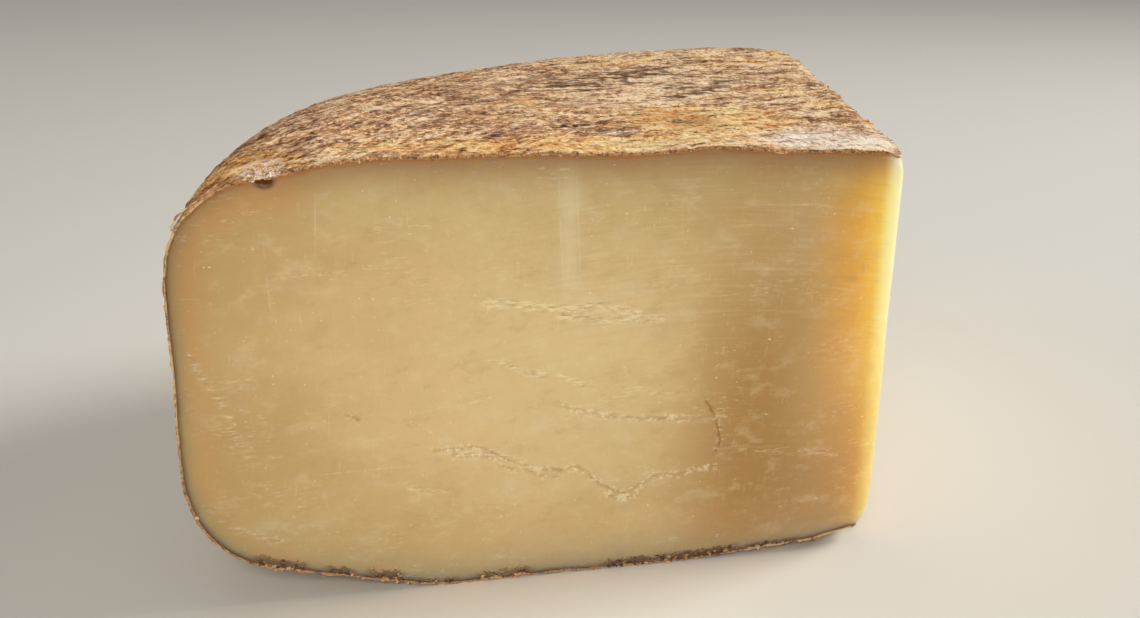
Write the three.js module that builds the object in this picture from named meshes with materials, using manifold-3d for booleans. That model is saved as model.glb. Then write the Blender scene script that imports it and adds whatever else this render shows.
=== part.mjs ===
// A cut piece of a natural-rind sheep's milk cheese, a little over a quarter of a flat round wheel.
// Millimetres, +Z up. X runs along the front cut, from the rind at -X to the point at +X.
// The front cut faces -Y, and the second cut leaves the point and leans out to +X as it goes back.
// The origin is under the middle of the piece's box, on the surface that it rests on.
// The shape is first made round the axis of the wheel, which is also the edge between the two cuts.

import * as THREE from 'three';
import { mergeVertices } from 'three/addons/utils/BufferGeometryUtils.js';
import Module from 'manifold-3d';

const wasm = await Module();
wasm.setup();

// The wheel that the piece was cut from.
const WHEEL_RADIUS = 139.5;
const CROWN_HEIGHT = 88.4;
const CROWN_RADIUS = 100;
const HEIGHT_AT_AXIS = 86.5;

// The section of its rim: a soft shoulder above, an upright side and a fuller curve below.
const SIDE_TOP = 62;
const SIDE_BOTTOM = 30;
const SHOULDER_REACH = 33;
const SHOULDER_FALL = 20;
const HEEL_FALL = 16;
const HEEL_INSET = 9.5;
const HEEL_RUN_RADIUS = 118.8;
const HEEL_RUN_HEIGHT = 5.6;
const HEEL_RUN_SLOPE = 0.22;

// The underside: a flat ring that carries the piece, and a shallow hollow under the point.
const FOOT_OUTER_RADIUS = 88;
const FOOT_INNER_RADIUS = 50;
const POINT_LIFT = 3.4;

// The two cuts and the edge between them.
const WEDGE_ANGLE = THREE.MathUtils.degToRad(99.1);
const POINT_ROUNDING = 2;
const BLOCK_REACH = 175;
const SPARE_ANGLE = THREE.MathUtils.degToRad(7);
const WORN_HEIGHT = 9;
const WORN_LEAN = THREE.MathUtils.degToRad(14);

// Where the axis of the wheel stands, seen from the middle of the piece.
const AXIS_X = (WHEEL_RADIUS * (1 + Math.cos(WEDGE_ANGLE))) / 2;
const AXIS_Y = -WHEEL_RADIUS / 2;

// How uneven the hand-made wheel is round its rim.
const RADIUS_WAVES = [-0.9, -2.1];
const HEIGHT_WAVES = [0.6, 0.8, 1.2];
const HEIGHT_FALL = 0.6;

// The relief of the rind: soft creases that run with the front cut, and dimples all over.
const CREASE = { depth: 0.22, spacing: 18, wander: 4, wanderLength: 145, fadeLength: 82 };
const DIMPLE = { depth: 0.28, length: 38, width: 33, swirl: 1.7 };
const SMOOTH_RADIUS = 20;

// Steps of the surface, about 5 mm along the section and 3 degrees round the wheel.
const SECTION_STEP = 5.2;
const ANGLE_STEPS = 38;

// Cracks in the front cut. Each place is a distance from the point and a height.
const CRACK_MOUTH = 0.4;
const CRACKS = [
  {
    course: [[91.8, 30.2], [82.8, 30.3], [78.1, 27.2], [66.7, 23.8], [62.9, 24.1], [54.6, 17.4],
      [47.1, 20.6], [34.2, 21.4]],
    width: 0.9,
    depth: 1.3,
  },
  { course: [[37.1, 36.5], [34.8, 33], [33.4, 26.4], [34.4, 24.4]], width: 0.7, depth: 1 },
  { course: [[67.9, 38.1], [58.8, 35.2], [52.6, 34], [40.1, 33]], width: 0.8, depth: 0.9 },
  { course: [[80.7, 48.6], [75, 46], [70, 44.7]], width: 0.8, depth: 0.6 },
  { course: [[67, 44.4], [60.9, 41.8]], width: 0.8, depth: 0.6 },
];

// Small hollows: a pocket under the rind at the shoulder, and a slit in the top.
const HOLLOWS = [
  { place: new THREE.Vector3(-120.6, 0.2, 85.6), size: new THREE.Vector3(1.7, 1.3, 0.7) },
  { place: new THREE.Vector3(-61.5, 20.5, 88.3), size: new THREE.Vector3(4.2, 0.9, 1) },
];

// Rows of chips along the cut edges of the rind, each from one distance from the point to another.
const CHIP_ROWS = [
  { count: 9, height: CROWN_HEIGHT + 0.2, from: 16, to: 122, angle: 0 },
  { count: 8, height: CROWN_HEIGHT + 0.2, from: 14, to: 118, angle: WEDGE_ANGLE },
  { count: 11, height: 1.2, from: 24, to: 112, angle: 0 },
  { count: 9, height: 1.2, from: 20, to: 110, angle: WEDGE_ANGLE },
];
const CRUMB_ROW = { count: 9, from: 72, to: 100, inset: 0.35, height: 1 };

const PASTE = new THREE.MeshStandardMaterial({ color: 0xd9bd87, roughness: 0.55, metalness: 0 });

// A random number from 0 to 1 by a fixed rule, so that every run gives the same piece.
const RANDOM_FACTOR = 16807;
const RANDOM_PERIOD = 2147483647;

function makeRandom(seed) {
  let state = seed;
  return () => {
    state = (state * RANDOM_FACTOR) % RANDOM_PERIOD;
    return state / RANDOM_PERIOD;
  };
}

// A number between two limits.
function between(random, low, high) {
  return low + (high - low) * random();
}

// One wave of a given length, at a given distance along it.
function wave(distance, length) {
  return Math.sin((2 * Math.PI * distance) / length);
}

// The section of the wheel from its axis over the rim and back to the axis underneath.
function wheelSection() {
  const path = new THREE.Path();
  path.moveTo(0, HEIGHT_AT_AXIS);
  path.quadraticCurveTo(CROWN_RADIUS / 2, CROWN_HEIGHT, CROWN_RADIUS, CROWN_HEIGHT);
  path.bezierCurveTo(
    CROWN_RADIUS + SHOULDER_REACH, CROWN_HEIGHT,
    WHEEL_RADIUS, SIDE_TOP + SHOULDER_FALL,
    WHEEL_RADIUS, SIDE_TOP,
  );
  path.lineTo(WHEEL_RADIUS, SIDE_BOTTOM);
  path.bezierCurveTo(
    WHEEL_RADIUS, SIDE_BOTTOM - HEEL_FALL,
    WHEEL_RADIUS - HEEL_INSET, HEEL_RUN_HEIGHT + HEEL_RUN_SLOPE * HEEL_INSET,
    HEEL_RUN_RADIUS, HEEL_RUN_HEIGHT,
  );
  path.quadraticCurveTo(
    HEEL_RUN_RADIUS - HEEL_RUN_HEIGHT / HEEL_RUN_SLOPE, 0,
    FOOT_OUTER_RADIUS, 0,
  );
  path.lineTo(FOOT_INNER_RADIUS, 0);
  path.quadraticCurveTo(FOOT_INNER_RADIUS / 2, 0, 0, POINT_LIFT);
  const points = [new THREE.Vector2(0, HEIGHT_AT_AXIS)];
  for (const curve of path.curves) {
    const steps = Math.max(3, Math.round(curve.getLength() / SECTION_STEP));
    points.push(...curve.getSpacedPoints(steps).slice(1));
  }
  return points;
}

// The outward normal of the section at one of its points.
function sectionNormal(points, index) {
  const before = points[Math.max(index - 1, 0)];
  const after = points[Math.min(index + 1, points.length - 1)];
  const along = after.clone().sub(before).normalize();
  return new THREE.Vector2(-along.y, along.x);
}

// The rim is a little wider in some places than in others, and so is the wheel's height.
function rimWidening(turn) {
  return RADIUS_WAVES.reduce((sum, size, i) => sum + size * Math.sin((i + 2) * Math.PI * turn), 0);
}

function rimLift(turn) {
  const waves = HEIGHT_WAVES.reduce((sum, size, i) => sum + size * Math.sin((i + 1) * Math.PI * turn), 0);
  return waves - HEIGHT_FALL * turn;
}

// How far the rind stands out at a place: long creases along X, and rounder dimples between them.
function rindRelief(x, y, z) {
  const wander = CREASE.wander * (wave(x, CREASE.wanderLength) + wave(x + y / 3, CREASE.wanderLength / 2.4));
  const fading = 0.5 + 0.5 * wave(x + 1.6 * y, CREASE.fadeLength);
  const creases = fading * wave(y + z / 2 + wander, CREASE.spacing);
  const swirl = DIMPLE.swirl * DIMPLE.length * wave(y, DIMPLE.width * 1.7) / (2 * Math.PI);
  const dimples = wave(x + swirl, DIMPLE.length) * wave(y + z / 1.5, DIMPLE.width);
  return CREASE.depth * creases + DIMPLE.depth * dimples;
}

// A place on the rind. The turn is 0 at the front cut and 1 at the second cut.
function rindPoint(section, index, turn) {
  const angle = turn * WEDGE_ANGLE;
  const point = section[index];
  const reach = (point.x / WHEEL_RADIUS) ** 2;
  const radius = point.x + reach * rimWidening(turn);
  const height = point.y + reach * rimLift(turn) * (point.y / CROWN_HEIGHT);
  const x = -radius * Math.cos(angle);
  const y = radius * Math.sin(angle);
  const onFoot = height < 0.01;
  if (onFoot) return new THREE.Vector3(x, y, 0);
  const normal = sectionNormal(section, index);
  const relief = rindRelief(x, y, height) * Math.min(1, point.x / SMOOTH_RADIUS);
  const outward = radius + relief * normal.x;
  return new THREE.Vector3(
    -outward * Math.cos(angle),
    outward * Math.sin(angle),
    Math.max(height + relief * normal.y, 0),
  );
}

// A closed solid from a list of places and a list of triangles that name them by number.
function solidFrom(places, triangles) {
  const geometry = new THREE.BufferGeometry();
  geometry.setFromPoints(places);
  geometry.setIndex(triangles);
  return solidOf(geometry);
}

// The same from a geometry, once the vertices that it repeats are merged.
function solidOf(geometry) {
  const bare = geometry.clone();
  bare.deleteAttribute('normal');
  bare.deleteAttribute('uv');
  const merged = mergeVertices(bare);
  return new wasm.Manifold(new wasm.Mesh({
    numProp: 3,
    vertProperties: new Float32Array(merged.attributes.position.array),
    triVerts: new Uint32Array(merged.index.array),
  }));
}

// A sector of the wheel that runs a few degrees past both cuts.
function wheelSector() {
  const section = wheelSection();
  const last = section.length - 1;
  const spare = SPARE_ANGLE / WEDGE_ANGLE;
  const places = [
    new THREE.Vector3(0, 0, HEIGHT_AT_AXIS),
    new THREE.Vector3(0, 0, POINT_LIFT),
    new THREE.Vector3(0, 0, CROWN_HEIGHT / 2),
  ];
  const triangles = [];
  const number = (step, index) => {
    if (index === 0) return 0;
    if (index === last) return 1;
    return 3 + step * (last - 1) + index - 1;
  };
  for (let step = 0; step <= ANGLE_STEPS; step += 1) {
    const turn = -spare + (1 + 2 * spare) * (step / ANGLE_STEPS);
    for (let index = 1; index < last; index += 1) places.push(rindPoint(section, index, turn));
  }
  for (let index = 0; index < last; index += 1) {
    for (let step = 0; step < ANGLE_STEPS; step += 1) {
      const corners = [number(step, index), number(step, index + 1)];
      corners.push(number(step + 1, index + 1), number(step + 1, index));
      if (index > 0) triangles.push(corners[0], corners[3], corners[1]);
      if (index < last - 1) triangles.push(corners[1], corners[3], corners[2]);
    }
    triangles.push(2, number(0, index), number(0, index + 1));
    triangles.push(2, number(ANGLE_STEPS, index + 1), number(ANGLE_STEPS, index));
  }
  return solidFrom(places, triangles);
}

// The block between the two cuts, tall enough for the wheel, with its point rounded off.
function cutBlock() {
  const back = new THREE.Vector2(-Math.cos(WEDGE_ANGLE), Math.sin(WEDGE_ANGLE));
  const run = POINT_ROUNDING / Math.tan(WEDGE_ANGLE / 2);
  const centre = new THREE.Vector2(-run, POINT_ROUNDING);
  const shape = new THREE.Shape();
  shape.moveTo(-BLOCK_REACH, 0);
  shape.lineTo(-run, 0);
  shape.absarc(centre.x, centre.y, POINT_ROUNDING, -Math.PI / 2, Math.PI / 2 - WEDGE_ANGLE, false);
  shape.lineTo(back.x * BLOCK_REACH, back.y * BLOCK_REACH);
  shape.lineTo(-BLOCK_REACH, back.y * BLOCK_REACH);
  shape.closePath();
  const block = new THREE.ExtrudeGeometry(shape, {
    depth: 2 * CROWN_HEIGHT,
    bevelEnabled: false,
    curveSegments: 8,
  });
  block.translate(0, 0, -CROWN_HEIGHT / 2);
  return solidOf(block);
}

// A crack in the front cut: a groove of three-sided section that thins out towards its ends.
function crack({ course, width, depth }) {
  const line = new THREE.SplineCurve(course.map(([run, height]) => new THREE.Vector2(-run, height)));
  const steps = course.length * 3;
  const places = [];
  const triangles = [];
  for (let step = 0; step <= steps; step += 1) {
    const part = step / steps;
    const middle = line.getPoint(part);
    const along = line.getTangent(part);
    const size = 0.2 + 0.8 * Math.sqrt(Math.sin(Math.PI * part));
    const half = (width / 2) * size;
    places.push(new THREE.Vector3(middle.x - along.y * half, -CRACK_MOUTH, middle.y + along.x * half));
    places.push(new THREE.Vector3(middle.x + along.y * half, -CRACK_MOUTH, middle.y - along.x * half));
    places.push(new THREE.Vector3(middle.x, depth * size, middle.y));
  }
  for (let step = 0; step < steps; step += 1) {
    for (let side = 0; side < 3; side += 1) {
      const near = 3 * step + side;
      const next = 3 * step + ((side + 1) % 3);
      triangles.push(near, next, near + 3, next, next + 3, near + 3);
    }
  }
  const end = 3 * steps;
  triangles.push(0, 2, 1, end, end + 1, end + 2);
  return solidFrom(places, triangles);
}

// An uneven lump, as a crumb of rind or the hollow where one broke away.
function lump(place, size, random) {
  const ball = new THREE.IcosahedronGeometry(1, 1);
  ball.deleteAttribute('normal');
  ball.deleteAttribute('uv');
  const merged = mergeVertices(ball);
  const corners = merged.attributes.position;
  for (let i = 0; i < corners.count; i += 1) {
    const corner = new THREE.Vector3().fromBufferAttribute(corners, i);
    corner.multiply(size).multiplyScalar(between(random, 0.75, 1.25)).add(place);
    corners.setXYZ(i, corner.x, corner.y, corner.z);
  }
  return solidOf(merged);
}

// Chips broken from the rind along its cut edge, above and below, on both cuts.
function edgeChips(random) {
  const chips = [];
  for (const row of CHIP_ROWS) {
    for (let i = 0; i < row.count; i += 1) {
      const run = row.from + (row.to - row.from) * ((i + between(random, 0.2, 0.8)) / row.count);
      const long = between(random, 1.4, 3);
      const deep = between(random, 0.6, 1.1);
      const size = new THREE.Vector3(long, deep, between(random, 0.7, 1.2));
      if (row.angle > 0) size.set(deep, long, size.z);
      const place = new THREE.Vector3(-run * Math.cos(row.angle), run * Math.sin(row.angle), row.height);
      chips.push(lump(place, size, random));
    }
  }
  return chips;
}

// Crumbs of rind that stay on the lower edge of the front cut.
function edgeCrumbs(random) {
  const crumbs = [];
  const { count, from, to, inset, height } = CRUMB_ROW;
  for (let i = 0; i < count; i += 1) {
    const run = from + (to - from) * ((i + between(random, 0.3, 0.7)) / count);
    const tall = between(random, 0.5, 0.9);
    const size = new THREE.Vector3(between(random, 0.8, 1.6), between(random, 0.5, 0.8), tall);
    crumbs.push(lump(new THREE.Vector3(-run, inset, height + 1.3 * tall), size, random));
  }
  return crumbs;
}

// The worn lower end of the point, where the paste has rubbed away.
function wornPoint() {
  const block = new THREE.BoxGeometry(2 * WORN_HEIGHT, 4 * WORN_HEIGHT, 4 * WORN_HEIGHT);
  block.translate(WORN_HEIGHT, 0, 0);
  block.rotateY(WORN_LEAN);
  block.rotateZ(-WEDGE_ANGLE / 2);
  block.translate(0, 0, WORN_HEIGHT);
  return solidOf(block);
}

// The whole piece as one solid, with its origin under the middle of its box.
function cheeseGeometry() {
  const random = makeRandom(2026);
  let solid = wheelSector().intersect(cutBlock());
  for (const crumb of edgeCrumbs(random)) solid = solid.add(crumb);
  for (const chip of edgeChips(random)) solid = solid.subtract(chip);
  for (const { place, size } of HOLLOWS) solid = solid.subtract(lump(place, size, random));
  for (const line of CRACKS) solid = solid.subtract(crack(line));
  solid = solid.subtract(wornPoint());
  const mesh = solid.getMesh();
  const geometry = new THREE.BufferGeometry();
  geometry.setAttribute('position', new THREE.Float32BufferAttribute(mesh.vertProperties, 3));
  geometry.setIndex(Array.from(mesh.triVerts));
  geometry.translate(AXIS_X, AXIS_Y, 0);
  geometry.computeVertexNormals();
  return geometry;
}

function cheesePiece() {
  const piece = new THREE.Mesh(cheeseGeometry(), PASTE);
  piece.name = 'cheese_piece';
  return piece;
}

const cheese = new THREE.Group();
cheese.add(cheesePiece());

export default cheese;
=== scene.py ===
import math
import random

import bmesh
import bpy
import numpy as np
from mathutils import Matrix
from mathutils import Vector
from mathutils.bvhtree import BVHTree


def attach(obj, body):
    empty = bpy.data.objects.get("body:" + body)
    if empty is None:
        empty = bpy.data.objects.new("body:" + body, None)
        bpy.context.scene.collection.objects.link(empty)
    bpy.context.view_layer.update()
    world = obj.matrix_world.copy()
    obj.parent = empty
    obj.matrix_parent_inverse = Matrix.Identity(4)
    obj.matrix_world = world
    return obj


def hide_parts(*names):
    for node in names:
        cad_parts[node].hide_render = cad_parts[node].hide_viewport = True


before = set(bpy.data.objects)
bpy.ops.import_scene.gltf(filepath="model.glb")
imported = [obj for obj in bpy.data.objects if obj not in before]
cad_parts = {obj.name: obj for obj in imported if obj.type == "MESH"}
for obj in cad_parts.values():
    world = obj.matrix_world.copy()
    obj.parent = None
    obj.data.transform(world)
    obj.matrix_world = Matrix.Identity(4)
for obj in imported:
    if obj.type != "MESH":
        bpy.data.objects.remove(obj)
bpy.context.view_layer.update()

# The camera looks down on the front cut from a little above the piece and left of its point.
# It is a 36 mm sensor behind a short portrait lens, and it hangs less than a degree off level.
MM = 0.001
CAMERA_PLACE = (-56.68, -301.36, 145.75)
CAMERA_TURN = 12.23
CAMERA_PITCH = 20.32
CAMERA_ROLL = 0.88
LENS = 41.72

camera_data = bpy.data.cameras.new("camera")
camera_data.sensor_width = 36
camera_data.sensor_fit = "HORIZONTAL"
camera_data.lens = LENS
camera_data.clip_start = 0.01
camera = bpy.data.objects.new("camera", camera_data)
bpy.context.scene.collection.objects.link(camera)
turned = Matrix.Rotation(math.radians(-CAMERA_TURN), 4, "Z")
pitched = Matrix.Rotation(math.radians(90 - CAMERA_PITCH), 4, "X")
rolled = Matrix.Rotation(math.radians(CAMERA_ROLL), 4, "Z")
camera.matrix_world = Matrix.Translation(Vector(CAMERA_PLACE) * MM) @ turned @ pitched @ rolled
bpy.context.scene.camera = camera

# The wheel that the piece was cut from: a pressed, hand-turned cheese of soft outline.
# Its section is drawn as a curve on a plane through the axis, filled, and spun round the axis.
# The axis is also the edge between the two cuts. All sizes are in millimetres.
WHEEL_RADIUS = 139.5
CROWN_HEIGHT = 88.4
CROWN_RADIUS = 100
HEIGHT_AT_AXIS = 86.5
SIDE_TOP = 62
SIDE_BOTTOM = 30
SHOULDER_REACH = 33
SHOULDER_FALL = 20
HEEL_FALL = 16
HEEL_INSET = 9.5
HEEL_RUN_RADIUS = 118.8
HEEL_RUN_HEIGHT = 5.6
HEEL_RUN_SLOPE = 0.22
FOOT_OUTER_RADIUS = 88
FOOT_INNER_RADIUS = 50
POINT_LIFT = 3.4
WEDGE_ANGLE = math.radians(99.1)
SPARE_ANGLE = math.radians(7)
RADIUS_WAVES = (-0.9, -2.1)
HEIGHT_WAVES = (0.6, 0.8, 1.2)
HEIGHT_FALL = 0.6
AXIS_X = WHEEL_RADIUS * (1 + math.cos(WEDGE_ANGLE)) / 2
AXIS_Y = -WHEEL_RADIUS / 2
CURVE_STEPS = 16
SPIN_STEPS = 60


def eased(end, control):
    """The handle that makes a stretch of the outline follow one control point."""
    return tuple(e + 2 / 3 * (c - e) for e, c in zip(end, control))


def section_knots():
    """Knots of the section: its place, the handle before and the handle after."""
    top = (0, HEIGHT_AT_AXIS)
    top_control = (CROWN_RADIUS / 2, CROWN_HEIGHT)
    crown = (CROWN_RADIUS, CROWN_HEIGHT)
    side = (WHEEL_RADIUS, SIDE_TOP)
    heel = (WHEEL_RADIUS, SIDE_BOTTOM)
    third = (SIDE_TOP - SIDE_BOTTOM) / 3
    run = (HEEL_RUN_RADIUS, HEEL_RUN_HEIGHT)
    run_before = (WHEEL_RADIUS - HEEL_INSET, HEEL_RUN_HEIGHT + HEEL_RUN_SLOPE * HEEL_INSET)
    run_control = (HEEL_RUN_RADIUS - HEEL_RUN_HEIGHT / HEEL_RUN_SLOPE, 0)
    foot = (FOOT_OUTER_RADIUS, 0)
    hollow = (FOOT_INNER_RADIUS, 0)
    third_of_foot = (FOOT_OUTER_RADIUS - FOOT_INNER_RADIUS) / 3
    low_control = (FOOT_INNER_RADIUS / 2, 0)
    low = (0, POINT_LIFT)
    return [
        (top, top, eased(top, top_control)),
        (crown, eased(crown, top_control), (CROWN_RADIUS + SHOULDER_REACH, CROWN_HEIGHT)),
        (side, (WHEEL_RADIUS, SIDE_TOP + SHOULDER_FALL), (WHEEL_RADIUS, SIDE_TOP - third)),
        (heel, (WHEEL_RADIUS, SIDE_BOTTOM + third), (WHEEL_RADIUS, SIDE_BOTTOM - HEEL_FALL)),
        (run, run_before, eased(run, run_control)),
        (foot, eased(foot, run_control), (FOOT_OUTER_RADIUS - third_of_foot, 0)),
        (hollow, (FOOT_INNER_RADIUS + third_of_foot, 0), eased(hollow, low_control)),
        (low, eased(low, low_control), low),
    ]


def points_of(piece):
    """The places of a piece's points, as rows of x, y and z in millimetres."""
    places = np.empty(len(piece.data.vertices) * 3, np.float32)
    piece.data.vertices.foreach_get("co", places)
    return places.reshape(-1, 3).astype(float) / MM


def move_points(piece, places):
    """Puts a piece's points at new places, given in millimetres."""
    piece.data.vertices.foreach_set("co", (places * MM).astype(np.float32).ravel())
    piece.data.update()


def only(piece):
    """Makes a piece the selected and active one, and no other."""
    bpy.ops.object.select_all(action="DESELECT")
    piece.select_set(True)
    bpy.context.view_layer.objects.active = piece


def applied(piece, kind, **settings):
    """Adds one modifier to a piece, sets it and applies it."""
    only(piece)
    modifier = piece.modifiers.new(kind.lower(), kind)
    for name, value in settings.items():
        setattr(modifier, name, value)
    bpy.ops.object.modifier_apply(modifier=modifier.name)


def wheel(name):
    """A sector of the wheel, a few degrees wider than the piece."""
    bpy.ops.object.select_all(action="DESELECT")
    bpy.ops.curve.primitive_bezier_curve_add()
    piece = bpy.context.object
    piece.name = name
    piece.data.dimensions = "3D"
    piece.data.resolution_u = CURVE_STEPS
    knots = section_knots()
    line = piece.data.splines[0]
    line.bezier_points.add(len(knots) - len(line.bezier_points))
    for point, (place, before, after) in zip(line.bezier_points, knots):
        point.handle_left_type = "FREE"
        point.handle_right_type = "FREE"
        for part, spot in (("co", place), ("handle_left", before), ("handle_right", after)):
            radius, height = spot
            x = -radius * math.cos(SPARE_ANGLE)
            y = -radius * math.sin(SPARE_ANGLE)
            setattr(point, part, Vector((x, y, height)) * MM)
    bpy.ops.object.convert(target="MESH")
    piece = bpy.context.object
    bpy.ops.object.mode_set(mode="EDIT")
    bpy.ops.mesh.select_all(action="SELECT")
    bpy.ops.mesh.edge_face_add()
    bpy.ops.mesh.spin(
        steps=SPIN_STEPS,
        angle=WEDGE_ANGLE + 2 * SPARE_ANGLE,
        center=(0, 0, 0),
        axis=(0, 0, 1),
    )
    bpy.ops.mesh.select_all(action="SELECT")
    bpy.ops.mesh.remove_doubles(threshold=0.001 * MM)
    bpy.ops.mesh.normals_make_consistent(inside=False)
    bpy.ops.object.mode_set(mode="OBJECT")
    places = points_of(piece)
    radius = np.hypot(places[:, 0], places[:, 1])
    turn = np.arctan2(places[:, 1], -places[:, 0]) / WEDGE_ANGLE
    reach = (radius / WHEEL_RADIUS) ** 2
    wider = sum(size * np.sin((i + 2) * np.pi * turn) for i, size in enumerate(RADIUS_WAVES))
    higher = sum(size * np.sin((i + 1) * np.pi * turn) for i, size in enumerate(HEIGHT_WAVES))
    stretch = 1 + reach * wider / np.maximum(radius, 1)
    places[:, 2] += reach * (higher - HEIGHT_FALL * turn) * places[:, 2] / CROWN_HEIGHT
    places[:, 0] = places[:, 0] * stretch + AXIS_X
    places[:, 1] = places[:, 1] * stretch + AXIS_Y
    move_points(piece, places)
    return piece


# The space between the two cuts, as the knife left it: a block whose upright edge is the point.
# It is cut out of the wheel for the paste, and once more, a hair larger, for the rind.
POINT_ROUNDING = 2
BLOCK_REACH = 150
BLOCK_DEPTH = 160
BLOCK_FLOOR = -4
BLOCK_TOP = 94
POINT_SEGMENTS = 6


def pick(piece, kind, rule):
    """Selects those faces, edges or points whose corners all fulfil a rule, given in millimetres."""
    bpy.ops.mesh.select_mode(type=kind)
    bpy.ops.mesh.select_all(action="DESELECT")
    shape = bmesh.from_edit_mesh(piece.data)
    parts = {"VERT": shape.verts, "EDGE": shape.edges, "FACE": shape.faces}[kind]
    for part in parts:
        corners = [part] if kind == "VERT" else part.verts
        if rule([corner.co / MM for corner in corners]):
            part.select_set(True)
    shape.select_flush(False)
    bmesh.update_edit_mesh(piece.data)


def knife_block(name, proud, columns, rows, back_columns):
    """The block, with its cut sides divided into small faces, and proud of the paste by a little."""
    bpy.ops.object.select_all(action="DESELECT")
    bpy.ops.mesh.primitive_cube_add(size=1)
    block = bpy.context.object
    block.name = name
    out = proud / math.tan(WEDGE_ANGLE / 2)
    lean = (BLOCK_DEPTH + proud) / math.tan(WEDGE_ANGLE)
    places = points_of(block) * MM
    front = places[:, 1] < 0
    at_point = places[:, 0] > 0
    places[:, 0] = np.where(at_point, AXIS_X + out - np.where(front, 0, lean), AXIS_X - BLOCK_REACH)
    places[:, 1] = np.where(front, AXIS_Y - proud, AXIS_Y + BLOCK_DEPTH)
    places[:, 2] = np.where(places[:, 2] > 0, BLOCK_TOP, BLOCK_FLOOR)
    move_points(block, places)

    def upright(corners):
        return abs(corners[0].z - corners[1].z) > 1

    def along_front(corners):
        level = abs(corners[0].z - corners[1].z) < 0.001
        return level and all(abs(c.y - AXIS_Y + proud) < 0.01 for c in corners)

    def along_back_cut(corners):
        level = abs(corners[0].z - corners[1].z) < 0.001
        return level and corners[0].x > AXIS_X - 5 and corners[1].x > AXIS_X - 5 and (
            abs(corners[0].y - corners[1].y) > 3)

    bpy.ops.object.mode_set(mode="EDIT")
    pick(block, "EDGE", lambda c: upright(c) and all(abs(p.x - AXIS_X - out) < 0.01 for p in c)
         and c[0].y < 0)
    bpy.ops.mesh.bevel(
        offset=(POINT_ROUNDING + proud) / math.tan(WEDGE_ANGLE / 2) * MM,
        segments=POINT_SEGMENTS,
        profile=0.5,
        affect="EDGES",
    )
    for rule, parts in ((upright, rows), (along_front, columns), (along_back_cut, back_columns)):
        for part in parts:
            pick(block, "EDGE", rule)
            if rule is upright and part != parts[0]:
                pick(block, "EDGE", lambda c: abs(c[0].z - c[1].z) > 0.001)
            bpy.ops.mesh.subdivide(number_cuts=part - 1)
    bpy.ops.mesh.select_all(action="SELECT")
    bpy.ops.mesh.normals_make_consistent(inside=False)
    bpy.ops.object.mode_set(mode="OBJECT")
    return block


# The rind: a natural crust under a millimetre thick, dry, dimpled and wrinkled, left by washing and
# turning. It is the outside of the wheel, pushed in and out, with a slightly smaller and uneven
# wheel taken out of it, cut by the knife a hair proud of the paste, and split in three.
RIND_VOXEL = 0.56
RIND_THICKNESS = 0.45
POINT_SPARE = 22
CORE_VOXEL = 1.7
RIND_PROUD = 0.09
RIND_SEAMS = (66, 14)
CHIPS_IN_FRONT = 34
CHIPS_BEHIND = 30
CHIP_SPACING = 5
WORN_FROM = 13
WORN_REACH = 12
WORN_LEAN = 4.5
POINT_TOP = 81
POINT_DROP = 2.6
TOP_REACH = 6
POINT_SWELL = 1.4
SWELL_REACH = 34
BRUISE_REACH = 2.6
# Where the upper edge of the front cut sways: distance from the point, half length and rise.
SWAYS = ((37, 9, 0.8), (54, 9, -0.45), (92, 10, -0.15), (119, 7, -1.5))
SWAY_DEPTH = 26
EDGE_LIFT = 0.6
BRUISE_DROP = 1.1

POCKET = (AXIS_X - 120.6, AXIS_Y + 0.2, 85.8)
EYE = (AXIS_X - 61.4, AXIS_Y + 21.4)
# The two holes and the slits of the eye: place from its middle and half size along X, Y and Z.
EYE_HOLES = (
    ((-0.85, 0.1, 0.1), (0.7, 1.1, 0.9)),
    ((1.35, 0.2, 0.1), (0.65, 1, 0.9)),
    ((-3.1, -1.1, 0.1), (1.7, 0.6, 0.6)),
    ((3.3, 0.9, 0.1), (1.7, 0.4, 0.5)),
)
# The pale lips below the holes: place from the middle of the eye and half size along X and Y.
EYE_LIPS = (
    ((-1.2, -1.7), (0.9, 0.8)),
    ((3.2, -0.7), (1.9, 0.8)),
)
POCKET_SIZE = (1.8, 1.1, 0.6)


def pressed(piece, kind, size, strength, group="", **settings):
    """Pushes a surface in and out by a pattern whose cells have the given size along X, Y and Z."""
    guide = bpy.data.objects.new("guide", None)
    bpy.context.scene.collection.objects.link(guide)
    guide.scale = Vector(size) * MM
    bpy.context.view_layer.update()
    pattern = bpy.data.textures.new("pattern", kind)
    pattern.noise_scale = 1
    for name, value in settings.items():
        setattr(pattern, name, value)
    applied(
        piece,
        "DISPLACE",
        texture=pattern,
        texture_coords="OBJECT",
        texture_coords_object=guide,
        strength=strength * MM,
        mid_level=0.5,
        vertex_group=group,
    )
    bpy.data.textures.remove(pattern)
    bpy.data.objects.remove(guide)


def combined(piece, other, operation, keep=False):
    """Cuts a piece by another, or joins it, and removes the other unless it is still needed."""
    applied(piece, "BOOLEAN", operation=operation, object=other, solver="MANIFOLD")
    if not keep:
        bpy.data.objects.remove(other)


def copied(piece, name):
    """A copy of a piece with its own mesh."""
    double = piece.copy()
    double.data = piece.data.copy()
    double.name = name
    bpy.context.scene.collection.objects.link(double)
    return double


def slab(name, low, high):
    """A wide flat box between two heights, to split a piece by."""
    bpy.ops.object.select_all(action="DESELECT")
    bpy.ops.mesh.primitive_cube_add(size=1)
    box = bpy.context.object
    box.name = name
    places = points_of(box) * MM
    places[:, :2] *= 3 * WHEEL_RADIUS
    places[:, 2] = np.where(places[:, 2] > 0, high, low)
    move_points(box, places)
    return box


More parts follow.
